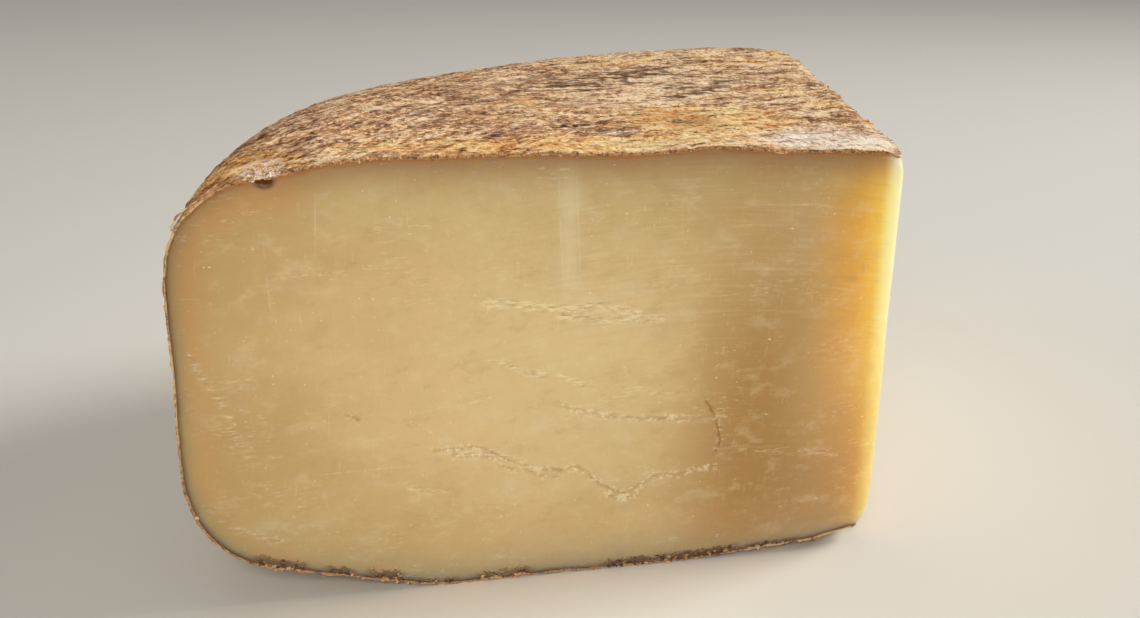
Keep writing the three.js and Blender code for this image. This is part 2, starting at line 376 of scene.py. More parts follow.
def reach_past_point(piece, low, high):
    """Joins a short cylinder round the axis, so that the relief doesn't eat into the point."""
    bpy.ops.object.select_all(action="DESELECT")
    bpy.ops.mesh.primitive_cylinder_add(
        vertices=48,
        radius=POINT_SPARE * MM,
        depth=(high - low) * MM,
        location=Vector((AXIS_X, AXIS_Y, (low + high) / 2)) * MM,
    )
    cylinder = bpy.context.object
    bpy.ops.object.transform_apply(location=True, rotation=True, scale=True)
    combined(piece, cylinder, "UNION")


class Wire:
    """One output of a material's nodes. Sums of wires and numbers add Math nodes by themselves."""

    def __init__(self, tree, socket=None):
        self.tree = tree
        self.socket = socket

    def node(self, kind, settings=None, inputs=None, output=0):
        """Any node: its type, what is set on it first, and the values or wires of its sockets."""
        made = self.tree.nodes.new("ShaderNode" + kind)
        for name, value in (settings or {}).items():
            if name == "stops":
                ramp = made.color_ramp
                while len(ramp.elements) < len(value):
                    ramp.elements.new(0.5)
                for element, (place, paint) in zip(ramp.elements, value):
                    element.position = place
                    element.color = paint
            else:
                setattr(made, name, value)
        for name, value in (inputs or {}).items():
            if isinstance(value, Wire):
                self.tree.links.new(value.socket, made.inputs[name])
            else:
                made.inputs[name].default_value = value
        return Wire(self.tree, made.outputs[output])

    def math(self, operation, *others):
        values = {i: value for i, value in enumerate((self, *others))}
        return self.node("Math", {"operation": operation}, values)

    def __add__(self, other):
        return self.math("ADD", other)

    def __radd__(self, other):
        return self.math("ADD", other)

    def __sub__(self, other):
        return self.math("SUBTRACT", other)

    def __rsub__(self, other):
        return self.node("Math", {"operation": "SUBTRACT"}, {0: other, 1: self})

    def __mul__(self, other):
        return self.math("MULTIPLY", other)

    def __rmul__(self, other):
        return self.math("MULTIPLY", other)

    def __truediv__(self, other):
        return self.math("DIVIDE", other)

    def __rtruediv__(self, other):
        return self.node("Math", {"operation": "DIVIDE"}, {0: other, 1: self})

    def __pow__(self, other):
        return self.math("POWER", other)

    def rise(self, start, end):
        """0 up to the start, 1 from the end on, and a soft rise between. The start may be the larger."""
        settings = {"interpolation_type": "SMOOTHSTEP"}
        return self.node("MapRange", settings, {0: self, 1: start, 2: end})

    def near(self, place, reach):
        """1 where the value is the place, falling softly to 0 a reach away on both sides."""
        return (self - place).math("ABSOLUTE").rise(reach, 0)

    def stretched(self, size, turn=0):
        """The place in units of a pattern's cell, whose size along X, Y and Z is in millimetres."""
        scale = tuple(part * MM for part in size)
        inputs = {"Vector": self, "Rotation": (0, 0, turn), "Scale": scale}
        return self.node("Mapping", {"vector_type": "TEXTURE"}, inputs)

    def cloud(self, size, detail=2, rough=0.5, turn=0, seed=0):
        """A soft pattern from 0 to 1, about 0.5 on average."""
        settings = {"noise_dimensions": "4D"}
        inputs = {"Vector": self.stretched(size, turn), "W": seed, "Scale": 1, "Detail": detail,
                  "Roughness": rough}
        return self.node("TexNoise", settings, inputs)

    def cells(self, size, feature="DISTANCE_TO_EDGE", seed=0):
        """Plates or spots: the distance to the edge or the middle of uneven cells."""
        settings = {"voronoi_dimensions": "4D", "feature": feature}
        return self.node("TexVoronoi", settings, {"Vector": self.stretched(size), "W": seed, "Scale": 1})

    def mixed(self, other, mask, mode="MIX"):
        """This colour with another over it where the mask is 1."""
        settings = {"data_type": "RGBA", "blend_type": mode}
        return self.node("Mix", settings, {0: mask, 6: self, 7: other}, output=2)


def paint(red, green, blue):
    """A colour by its screen values from 0 to 255, as the light values that a shader takes."""
    parts = [part / 255 for part in (red, green, blue)]
    light = [part / 12.92 if part <= 0.04045 else ((part + 0.055) / 1.055) ** 2.4 for part in parts]
    return (*light, 1)


def surface(name):
    """A new material, its shader's node and a wire that starts its patterns."""
    material = bpy.data.materials.new(name)
    material.use_nodes = True
    shader = material.node_tree.nodes["Principled BSDF"]
    return material, shader, Wire(material.node_tree)


def feed(start, shader, **wires):
    """Links wires to the shader's sockets, whose names have spaces for the low lines."""
    for name, wire in wires.items():
        start.tree.links.new(wire.socket, shader.inputs[name.replace("_", " ")])


def blot(place, centre, reach):
    """A soft-edged patch round a centre, 1 inside and 0 outside, both in millimetres."""
    away = place.node("VectorMath", {"operation": "SUBTRACT"}, {0: place, 1: Vector(centre) * MM})
    scale = tuple(1 / (part * MM) for part in reach)
    away = place.node("VectorMath", {"operation": "MULTIPLY"}, {0: away, 1: scale})
    length = place.node("VectorMath", {"operation": "LENGTH"}, {0: away}, output=1)
    return length.rise(1.25, 0.55)


def shades(value, colours, low=0.34, high=0.68):
    """A run of colours from dark to light, spread over the middle of a pattern's range."""
    step = (high - low) / (len(colours) - 1)
    stops = [(low + i * step, paint(*colour)) for i, colour in enumerate(colours)]
    return value.node("ValToRGB", {"stops": stops}, {0: value})


CRUST = ((72, 44, 32), (124, 84, 62), (170, 122, 88), (214, 166, 120), (250, 218, 178))
ORANGE = ((100, 56, 26), (172, 108, 50), (214, 148, 78), (240, 186, 114), (250, 222, 166))
BLOOM = ((110, 80, 66), (178, 142, 122), (218, 188, 166), (242, 218, 196), (254, 242, 228))
PLATES = ((98, 64, 46), (166, 120, 90), (210, 166, 128), (238, 202, 166), (252, 230, 204))
EARTH = ((106, 60, 28), (172, 110, 54), (212, 152, 82), (236, 184, 118), (252, 218, 160))


def rind_surface():
    """Tan crust with grey, orange and whitish patches, fine flecks and dark cracks between plates, and painted
    shade in the eye's holes.
    """
    material, shader, start = surface("rind")
    place = start.node("TexCoord", output=3)
    drift = place.node("TexNoise", {}, {"Vector": place.stretched((14, 10, 12)), "Scale": 1, "Detail": 4,
                       "Roughness": 0.65}, 1)
    drift = place.node("VectorMath", {"operation": "SUBTRACT"}, {0: drift, 1: (0.5, 0.5, 0.5)})
    drift = place.node("VectorMath", {"operation": "SCALE"}, {0: drift, "Scale": 16 * MM})
    wandering = place.node("VectorMath", {"operation": "ADD"}, {0: place, 1: drift})
    parts = start.node("SeparateXYZ", {}, {0: wandering})
    to_right = parts.rise((AXIS_X - 95) * MM, (AXIS_X - 25) * MM)

    broad = place.cloud((30, 20, 22), 4, 0.6)
    fleck = place.cloud((3, 2.1, 1.9), 5, 0.76, seed=7)
    grain = place.cloud((1, 1.3, 0.8), 3, 0.75, seed=11)
    across = place.cloud((11, 2.4, 2.4), 4, 0.65, turn=0.15, seed=13)
    aslant = place.cloud((12, 1.5, 2.4), 4, 0.65, turn=0.9, seed=14)
    streaks = to_right * across + (1 - to_right) * aslant
    value = 0.38 * fleck + 0.28 * grain + 0.34 * streaks
    value = value + 0.12 * (broad - 0.5) + 0.02 * to_right
    crust = shades(value, CRUST, 0.424, 0.55)
    orange = shades(value, ORANGE, 0.41, 0.536)
    bloom = shades(value, BLOOM, 0.406, 0.53)
    plates = shades(value, PLATES, 0.406, 0.536)
    earth = shades(value, EARTH, 0.415, 0.565)

    strip = blot(wandering, (AXIS_X - 74, AXIS_Y + 7, 88), (42, 8, 60))
    yellow = blot(wandering, (AXIS_X - 32, AXIS_Y + 27, 88), (20, 15, 60))
    white = blot(wandering, (AXIS_X - 12, AXIS_Y + 9, 88), (15, 10, 60))
    plated = blot(wandering, (AXIS_X - 36, AXIS_Y + 66, 88), (30, 24, 60))
    shoulder = blot(wandering, (AXIS_X - 124, AXIS_Y + 8, 74), (11, 18, 24))
    spots = place.cloud((16, 9, 10), 5, 0.65, seed=21)
    veil = place.cloud((12, 7, 8), 5, 0.7, seed=23)
    tone = crust.mixed(orange, spots.rise(0.5, 0.62) * (0.35 + 0.4 * to_right))
    tone = tone.mixed(plates, veil.rise(0.51, 0.6) * 0.7)
    tone = tone.mixed(orange, strip * 0.85)
    tone = tone.mixed(orange, yellow * 0.85)
    tone = tone.mixed(earth, shoulder)
    tone = tone.mixed(plates, plated * 0.3)
    tone = tone.mixed(bloom, white)
    pinkish = place.cloud((5, 3, 3), 4, 0.7, seed=41).rise(0.52, 0.66)
    yellowish = place.cloud((4, 3, 3), 4, 0.7, seed=43).rise(0.54, 0.68)
    greyish = place.cloud((6, 3, 3), 4, 0.7, seed=45).rise(0.48, 0.64) * (1 - 0.8 * to_right)
    tone = tone.mixed(paint(206, 146, 128), pinkish * 0.3)
    tone = tone.mixed(paint(238, 190, 108), yellowish * (0.12 + 0.2 * to_right))
    tone = tone.mixed(paint(158, 136, 126), greyish * 0.34)
    bump_spot = blot(place, (AXIS_X - 65.6, AXIS_Y + 48.4, 88), (3, 6, 60))
    tone = tone.mixed(paint(240, 184, 130), bump_spot * 0.7)
    mould = blot(place, (AXIS_X - 121, AXIS_Y + 4.5, 85), (4.6, 6, 8))
    fluff = place.cloud((1.4, 1.8, 1.2), 4, 0.75, seed=25).rise(0.44, 0.56)
    tone = tone.mixed(paint(238, 218, 202), mould * fluff * 0.8)

    broken = place.cloud((8, 6, 6), 2, seed=31)
    cells = place.cells((7.5, 4.2, 4.2), seed=2)
    cracks = cells.rise(0.06, 0) * broken.rise(0.46, 0.56) * 0.4 * (1 - plated)
    seams = (place.cloud((13, 3.6, 3.6), 1, 0.5, turn=-0.12, seed=35) - 0.5).math("ABSOLUTE")
    cracks = cracks + seams.rise(0.07, 0.015) * broken.rise(0.42, 0.5) * plated
    ripple = place.cloud((9, 3, 3), 3, 0.55, turn=0.2, seed=27)
    wrinkle = (ripple - 0.5).math("ABSOLUTE").rise(0.017, 0.003)
    wrinkle = wrinkle * place.cloud((12, 10, 10), 2, seed=29).rise(0.45, 0.54) * (1 - white)
    scores = (place.cloud((8, 1.1, 1.1), 1, 0.5, turn=-1.23, seed=33) - 0.5).math("ABSOLUTE").rise(0.02, 0.004)
    scores = scores * blot(place, (AXIS_X - 14, AXIS_Y + 9, 88), (8, 9, 60))
    pits = grain.rise(0.41, 0.34)
    tone = tone.mixed(paint(92, 58, 38), wrinkle * 0.7)
    tone = tone.mixed(paint(84, 54, 38), cracks * 0.8)
    tone = tone.mixed(paint(104, 82, 78), scores * 0.7)
    tone = tone.mixed(paint(66, 44, 34), pits * 0.55)
    star = (AXIS_X - 36.4, AXIS_Y + 26.8, 88)
    tone = tone.mixed(paint(186, 116, 50), blot(wandering, star, (9, 12, 60)) * (0.25 + 0.35 * streaks))
    tone = tone.mixed(paint(78, 46, 24), blot(place, star, (3.2, 4.2, 60)) * fleck.rise(0.56, 0.46) * 0.8)
    for (x, y), (wide, deep) in EYE_LIPS:
        lip = blot(place, (EYE[0] + x, EYE[1] + y, CROWN_HEIGHT), (wide, deep, 60))
        tone = tone.mixed(paint(250, 228, 200), lip * 0.75)
    # Painted shade: near-black inside the eye's holes.
    for (x, y, z), (wide, deep, high) in EYE_HOLES:
        hole = blot(place, (EYE[0] + x, EYE[1] + y, CROWN_HEIGHT), (wide * 1.1, deep * 1.1, 60))
        tone = tone.mixed(paint(58, 36, 24), hole * 0.9)

    height = 0.5 * value + 0.25 * grain - 0.4 * cracks - 0.3 * wrinkle - 0.15 * scores
    bump = start.node("Bump", {}, {"Strength": 1, "Distance": 1.5 * MM, "Height": height})
    feed(start, shader, Base_Color=tone, Normal=bump, Roughness=0.55 + 0.25 * fleck)
    shader.inputs["Specular IOR Level"].default_value = 0.12
    return material


def cut_surface():
    """The cut edge of the rind: dark dried brown, a little lighter outwards."""
    material, shader, start = surface("rind_cut")
    place = start.node("TexCoord", output=3)
    fleck = place.cloud((0.7, 0.7, 0.5), 3, 0.7)
    tone = start.node("Mix", {"data_type": "RGBA"}, {0: fleck.rise(0.34, 0.6),
                      6: paint(92, 56, 32), 7: paint(204, 150, 98)}, output=2)
    x = start.node("SeparateXYZ", {}, {0: place})
    z = start.node("SeparateXYZ", {}, {0: place}, output=2)
    left = x.rise((AXIS_X - 126) * MM, (AXIS_X - 134) * MM) * z.rise(26 * MM, 40 * MM)
    tone = tone.mixed(paint(240, 196, 144), left * place.cloud((1, 1, 2.4), 3, 0.7, seed=9).rise(0.42, 0.52) * 0.7)
    pale = z.rise(16 * MM, 6 * MM) * place.cloud((3.5, 3.5, 2), 3, 0.65, seed=5).rise(0.4, 0.52)
    foot = blot(place, (AXIS_X - 6, AXIS_Y, 2), (24, 40, 9))
    tone = tone.mixed(paint(206, 166, 112), pale * 0.45)
    tone = tone.mixed(paint(222, 190, 136), foot * 0.85)
    # Painted shade: near-black on the walls where the eye's holes cut through the rind.
    tone = tone.mixed(paint(58, 36, 24), blot(place, (*EYE, CROWN_HEIGHT), (6, 4, 10)) * 0.9)
    bump = start.node("Bump", {}, {"Strength": 0.8, "Distance": 0.3 * MM, "Height": fleck})
    feed(start, shader, Base_Color=tone, Normal=bump)
    shader.inputs["Roughness"].default_value = 0.6
    return material


rind = wheel("rind")
reach_past_point(rind, POINT_LIFT, HEIGHT_AT_AXIS)
applied(rind, "REMESH", mode="VOXEL", voxel_size=RIND_VOXEL * MM)
pressed(rind, "CLOUDS", (26, 19, 21), 1.1, noise_depth=2)
pressed(rind, "CLOUDS", (9, 4.5, 5), 0.5, noise_depth=2)
pressed(rind, "VORONOI", (4.6, 3.2, 3.2), 0.42, weight_1=-1, weight_2=1, noise_intensity=1.4)
pressed(rind, "CLOUDS", (1.7, 1.5, 1.4), 0.38, noise_depth=1)
places = points_of(rind)
places[:, 2] = np.maximum(places[:, 2], 0.02)
move_points(rind, places)

core = copied(rind, "core")
applied(core, "REMESH", mode="VOXEL", voxel_size=CORE_VOXEL * MM)
applied(core, "DISPLACE", strength=-RIND_THICKNESS * MM, mid_level=0)
pressed(core, "CLOUDS", (3.5, 3.5, 2.5), 0.45, noise_depth=2)
combined(rind, core, "DIFFERENCE", keep=True)
combined(rind, knife_block("knife", RIND_PROUD, (1,), (1,), (1,)), "INTERSECT")


def past_second_cut(places):
    """How far places lie outside the plane of the second cut, in millimetres; inside it is less than 0."""
    along = places[:, 0] - AXIS_X
    deep = places[:, 1] - AXIS_Y
    return along * math.sin(WEDGE_ANGLE) + deep * math.cos(WEDGE_ANGLE)


def worn(places):
    """Swells the point, leans its lower end inwards, rounds its top and bruises the edge behind it."""
    away = np.hypot(places[:, 0] - AXIS_X, places[:, 1] - AXIS_Y)
    places[:, 0] += POINT_SWELL * np.clip(1 - away / SWELL_REACH, 0, 1) ** 2
    low = np.clip((WORN_FROM - places[:, 2]) / WORN_FROM, 0, 1) ** 2
    high = np.clip((places[:, 2] - POINT_TOP) / (CROWN_HEIGHT - POINT_TOP), 0, 1)
    at_top = np.clip(1 - away / TOP_REACH, 0, 1)
    lean = WORN_LEAN * low * np.clip(1 - away / WORN_REACH, 0, 1) + POINT_DROP * high ** 2 * at_top
    behind = np.clip(1 - (places[:, 1] - AXIS_Y) / SWAY_DEPTH, 0, 1)
    along = AXIS_X - places[:, 0]
    sway = sum(rise * np.exp(-(((along - run) / reach) ** 2)) for run, reach, rise in SWAYS)
    places[:, 2] += (EDGE_LIFT + sway) * high * behind
    edge = np.clip(1 + past_second_cut(places) / BRUISE_REACH, 0, 1) ** 2
    uneven = 0.6 + 0.4 * np.sin(away / 3.1) * np.sin(away / 7.3 + 1)
    places[:, 0] -= lean * math.sin(WEDGE_ANGLE / 2)
    places[:, 1] += lean * math.cos(WEDGE_ANGLE / 2)
    places[:, 2] -= high * (BRUISE_DROP * edge * uneven + POINT_DROP / 2 * at_top ** 2)
    return places


def lumps(name, spots, draw, fineness=1, uneven=0.25):
    """Uneven balls at the given places and of the given sizes along X, Y and Z, joined as one."""
    bpy.ops.object.select_all(action="DESELECT")
    bpy.ops.mesh.primitive_ico_sphere_add(subdivisions=fineness, radius=MM)
    ball = bpy.context.object
    made = []
    for place, size in spots:
        lump = copied(ball, name)
        corners = points_of(lump)
        swell = np.array([[draw.uniform(1 - uneven, 1 + uneven)] for _ in corners])
        move_points(lump, corners * swell * np.array(size) + np.array(place))
        made.append(lump)
    bpy.data.objects.remove(ball)
    only(made[0])
    for lump in made:
        lump.select_set(True)
    bpy.ops.object.join()
    return made[0]


def along_edge(places, second, count, spacing, draw):
    """Some of the places that lie on one cut's edge, no two nearer than the spacing."""
    inside = -past_second_cut(places) if second else places[:, 1] - AXIS_Y
    close = places[inside < 0.3]
    order = list(range(len(close)))
    draw.shuffle(order)
    chosen = []
    for number in order:
        if all(np.linalg.norm(close[number] - other) > spacing for other in chosen):
            chosen.append(close[number])
        if len(chosen) == count:
            break
    return chosen


def chip_spots(places, draw):
    """Chips along both cut edges, long with the edge and shallow across it."""
    spots = []
    for second, count in ((False, CHIPS_IN_FRONT), (True, CHIPS_BEHIND)):
        for place in along_edge(places, second, count, CHIP_SPACING, draw):
            long = draw.uniform(0.7, 1.7)
            deep = draw.uniform(0.35, 0.8)
            size = (deep, long, draw.uniform(0.35, 0.7)) if second else (long, deep, draw.uniform(0.3, 0.6))
            upright = SIDE_BOTTOM - 8 < place[2] < SIDE_TOP + 10
            spots.append((place, (size[2], deep, long) if upright and not second else size))
    return spots


def on_a_cut(painted_light_middle):
    """Whether places, rows of x, y and z in millimetres, are on one of the two cuts of the rind."""
    on_front = painted_light_middle[:, 1] < AXIS_Y - RIND_PROUD + 0.02
    return on_front | (past_second_cut(painted_light_middle) > RIND_PROUD - 0.02)


rind.data.materials.clear()
rind.data.materials.append(rind_surface())
rind.data.materials.append(cut_surface())
painted_light_middle = np.empty(len(rind.data.polygons) * 3, np.float32)
rind.data.polygons.foreach_get("center", painted_light_middle)
rind.data.polygons.foreach_set("material_index", on_a_cut(painted_light_middle.reshape(-1, 3) / MM).astype(np.int32))

draw = random.Random(7)
chips = lumps("chips", chip_spots(points_of(rind), draw), draw, 2)
hollow_spots = [(POCKET, POCKET_SIZE)]
top_points = points_of(rind)
top_points = top_points[top_points[:, 2] > RIND_SEAMS[0]]
for (x, y, z), size in EYE_HOLES:
    away = np.hypot(top_points[:, 0] - EYE[0] - x, top_points[:, 1] - EYE[1] - y)
    height = top_points[np.argsort(away)[:12], 2].max()
    hollow_spots.append(((EYE[0] + x, EYE[1] + y, height + z), size))
hollows = lumps("hollows", hollow_spots, draw, 2, 0.15)
for cutter in (chips, hollows):
    cutter.data.polygons.foreach_set("material_index", [1] * len(cutter.data.polygons))
    for piece in (rind, core):
        combined(piece, cutter, "DIFFERENCE", keep=True)
    bpy.data.objects.remove(cutter)
move_points(rind, worn(points_of(rind)))
rind_top = rind
rind_side = copied(rind, "rind_side")
rind_under = copied(rind, "rind_under")
rind_top.name = "rind_top"
combined(rind_top, slab("above", RIND_SEAMS[0], 2 * CROWN_HEIGHT), "INTERSECT")
combined(rind_side, slab("between", RIND_SEAMS[1], RIND_SEAMS[0]), "INTERSECT")
combined(rind_under, slab("below", -CROWN_HEIGHT, RIND_SEAMS[1]), "INTERSECT")
rind_pieces = (rind_top, rind_side, rind_under)


for piece in rind_pieces:
    only(piece)
    bpy.ops.object.shade_smooth_by_angle(angle=math.radians(42))
    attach(piece, "root")
    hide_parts("cheese_piece")

# The paste: the firm, waxy inside, ivory and a little translucent, darker where it dried under the
# rind. It is the smaller wheel cut by the knife, whose blade left long shallow waves and drag lines.
PASTE_COLUMNS = (18, 17)
PASTE_ROWS = (14, 14)
PASTE_BACK_COLUMNS = (11, 12)
RIND_TONE_REACH = 12

# Torn streaks, where the blade dragged, and cracks. Places are distances from the point and heights.
TORN = (
    (((81.6, 59.8), (76.8, 59.9), (71, 58.6), (65.2, 57.8), (59.3, 58.3), (51.3, 55.9)), 0.8),
    (((67.1, 56.7), (59.2, 55.4), (47.2, 55)), 0.7),
    (((33, 26.3), (24.9, 24), (20.7, 24.1), (6.8, 21.7)), 0.45),
    (((7.1, 25.2), (0.7, 23.5)), 0.4),
    (((135.8, 53.5), (134.3, 49.4), (130.4, 42.1), (129, 36.8)), 0.45),
    (((80.7, 48.6), (77, 47.2), (74, 45.4), (70, 44.7)), 0.6),
    (((67, 44.4), (64, 42.6), (60.9, 41.8)), 0.6),
    (((66, 37.6), (58.8, 35.2), (52.6, 34), (40.1, 33)), 0.55),
    (((55, 41), (48, 39), (40, 38.5)), 0.4),
    (((90, 29.8), (80, 28.4), (71.6, 24.7)), 0.6),
    (((97, 22.5), (90, 21)), 0.5),
    (((131, 17), (121, 13)), 0.5),
)
CRACKS = (
    (((91.8, 30.2), (82.8, 30.3), (78.1, 27.2), (71.6, 24.7), (66.7, 23.8), (62.9, 24.1), (58.6, 19.9),
      (54.6, 17.4), (52.5, 17.2), (47.1, 20.6), (42.5, 20.6), (38.3, 21.4), (34.2, 21.4)), 0.26, 0.2, 0.5),
    (((37.1, 36.5), (34.8, 33), (33.8, 29.8), (33.4, 26.4), (34.4, 24.4)), 0.18, 0.3, 1),
    (((66, 37.6), (58.8, 35.2), (52.6, 34), (42, 33.2)), 0.18, 0.11, 0.4),
    (((108.5, 39.3), (105.8, 38)), 0.2, 0.18, 0.6),
    (((88, 29), (83, 28.6), (80, 27.6)), 0.2, 0.13, 0.4),
    (((79, 25.9), (75, 24.6), (70.5, 22.9), (67, 22.6)), 0.2, 0.14, 0.4),
    (((57, 17.2), (54, 16.2), (50.6, 16.6)), 0.2, 0.13, 0.4),
)
HAIRLINES = (
    ((67.9, 87), (66.4, 60), 0.3),
    ((64.4, 87), (63.2, 62), 0.22),
    ((111.7, 86.2), (112.5, 70.4), 0.25),
    ((113.8, 27), (94.6, 27.4), 0.3),
    ((121.5, 74), (121, 60), 0.2),
    ((98, 86), (97.2, 76), 0.2),
    ((44, 82), (43.4, 70), 0.2),
)


# Dark and reddish stains above the lower edge: where each begins and ends, its reach and colour.
FOOT_PATCHES = (
    (127, 118, 2.2, (116, 82, 44)),
    (113, 108.5, 1.9, (126, 88, 50)),
    (105, 99, 2.3, (112, 76, 40)),
    (96, 88, 1.1, (160, 110, 64)),
    (83, 73, 1.8, (168, 104, 62)),
    (57, 29, 1.8, (116, 64, 34)),
    (26, 15, 1, (166, 106, 64)),
)


def closed(piece):
    """Merges the points that a piece repeats, so that its skin is whole, and turns it outwards."""
    only(piece)
    bpy.ops.object.mode_set(mode="EDIT")
    bpy.ops.mesh.select_all(action="SELECT")
    bpy.ops.mesh.remove_doubles(threshold=0.001 * MM)
    bpy.ops.mesh.normals_make_consistent(inside=False)
    bpy.ops.object.mode_set(mode="OBJECT")


def path(spots, half_width, name):
    """A closed thin tube along places in millimetres, each with its own share of the width."""
    bpy.ops.object.select_all(action="DESELECT")
    bpy.ops.curve.primitive_nurbs_path_add()
    piece = bpy.context.object
    piece.data.splines.remove(piece.data.splines[0])
    line = piece.data.splines.new("POLY")
    line.points.add(len(spots) - 1)
    for point, (place, share) in zip(line.points, spots):
        point.co = (*(Vector(place) * MM), 1)
        point.radius = share
    piece.data.dimensions = "3D"
    piece.data.bevel_depth = half_width * MM
    piece.data.bevel_resolution = 0
    piece.data.use_fill_caps = True
    bpy.ops.object.convert(target="MESH")
    tube = bpy.context.object
    tube.name = name
    closed(tube)
    return tube


def wandered(course, draw):
    """A course with a place every millimetre or so, each a little off the straight way."""
    spots = []
    for (run, height), (next_run, next_height) in zip(course, course[1:]):
        steps = max(1, round(math.hypot(next_run - run, next_height - height) / 0.8))
        for step in range(steps):
            part = step / steps
            spots.append((run + (next_run - run) * part, height + (next_height - height) * part))
    spots.append(course[-1])
    return [(run + draw.uniform(-0.25, 0.25), height + draw.uniform(-0.25, 0.25)) for run, height in spots]


def crack(course, half_width, depth, draw, face):
    """A thin wandering groove in the face, open to the front, that thins out to its ends."""
    spots = []
    swell = 1
    for i, (run, height) in enumerate(course):
        part = i / (len(course) - 1)
        swell += (draw.uniform(0, 2.4) - swell) / 4
        share = (0.2 + math.sin(math.pi * part) ** 0.5) * swell
        spots.append(((AXIS_X - run, 0, height), share))
    groove = path(spots, half_width, "crack")
    places = points_of(groove)
    for i, (x, y, z) in enumerate(places):
        nearest = np.argmin(np.hypot(face[:, 0] - x, face[:, 2] - z))
        places[i, 1] = face[nearest, 1] + y / half_width * (depth if y > 0 else 1)
    move_points(groove, places)
    return groove


def nearness(places, courses, reach):
    """How near places on the front cut are to the lines, from 0 a reach away to 1 on a line."""
    best = np.zeros(len(places))
    spot = np.stack((AXIS_X - places[:, 0], places[:, 2]), axis=1)
    for course, weight in courses:
        for near, far in zip(course, course[1:]):
            near = np.array(near)
            along = np.array(far) - near
            part = np.clip(((spot - near) @ along) / (along @ along), 0, 1)
            away = np.linalg.norm(spot - near - part[:, None] * along, axis=1)
            best = np.maximum(best, weight * np.clip(1 - away / reach, 0, 1))
    return best * (places[:, 1] < AXIS_Y + 2)


def store(piece, name, values):
    """Keeps one number for each point of a piece, for its material to read."""
    layer = piece.data.attributes.new(name, "FLOAT", "POINT")
    layer.data.foreach_set("value", np.asarray(values, np.float32))


paste = core
paste.name = "paste"
block = knife_block("knife", 0, PASTE_COLUMNS, PASTE_ROWS, PASTE_BACK_COLUMNS)
pressed(block, "CLOUDS", (60, 60, 28), 0.5, noise_depth=1)
pressed(block, "CLOUDS", (30, 30, 3), 0.12, noise_depth=2)
combined(paste, block, "INTERSECT")

draw = random.Random(11)
crack_lines = [(wandered(course, draw), *rest) for course, *rest in CRACKS]
face = points_of(paste)
face = face[face[:, 1] < AXIS_Y + 0.5]
for course, half_width, depth, dark in crack_lines:
    combined(paste, crack(course, half_width, depth, draw, face), "DIFFERENCE")

places = points_of(paste)
flaking = nearness(places, TORN, 1.7)
flaking = np.maximum(flaking, nearness(places, [(line[0], 0.35) for line in crack_lines], 1.2))
flaky = paste.vertex_groups.new(name="flaky")
for i in np.nonzero(flaking)[0]:
    flaky.add([int(i)], float(flaking[i]), "REPLACE")
pressed(paste, "CLOUDS", (3.4, 2, 0.9), 0.45, group="flaky", noise_depth=2)
paste.vertex_groups.clear()
store(paste, "torn", nearness(points_of(paste), TORN, 1.7))
whiter = [(course, 1.2 - 0.5 * dark) for course, half_width, depth, dark in crack_lines]
store(paste, "cracked", np.minimum(nearness(points_of(paste), whiter, 1.5), 1))
store(paste, "split", nearness(points_of(paste), [(line[0], line[3]) for line in crack_lines], 0.6))
move_points(paste, worn(points_of(paste)))

trees = [BVHTree.FromObject(part, bpy.context.evaluated_depsgraph_get()) for part in rind_pieces]
places = points_of(paste)
depths = np.full(len(places), float(RIND_TONE_REACH))
for i, place in enumerate(places):
    for tree in trees:
        found = tree.find_nearest(Vector(place) * MM, depths[i] * MM)
        if found[0] is not None:
            depths[i] = min(depths[i], found[3] / MM)
store(paste, "under_rind", depths)
# How near the paste lies to the pocket and the eye, where it gets painted shade in the hollows.
stain = np.linalg.norm((places - worn(np.array([POCKET]))) / (1, 1, 0.7), axis=1)
eye = np.hypot(places[:, 0] - EYE[0], places[:, 1] - EYE[1])
store(paste, "stain", np.maximum(np.clip((2.5 - stain) / 1.4, 0, 1), np.clip(7 - eye, 0, 1)))


def hairline(x, z, start, end, half_width):
    """1 along a straight line on the front cut, between two places given by distance and height."""
    (run, height), (last_run, last_height) = start, end
    length = math.hypot(last_run - run, last_height - height)
    side, rise = (last_run - run) / length, (last_height - height) / length
    from_x = x - (AXIS_X - run) * MM
    from_z = z - height * MM
    across = from_x * rise + from_z * side
    along = from_z * rise - from_x * side
    ends = along.rise(-1 * MM, 3 * MM) * along.rise((length + 1) * MM, (length - 3) * MM)
    return across.near(0, half_width * MM) * ends


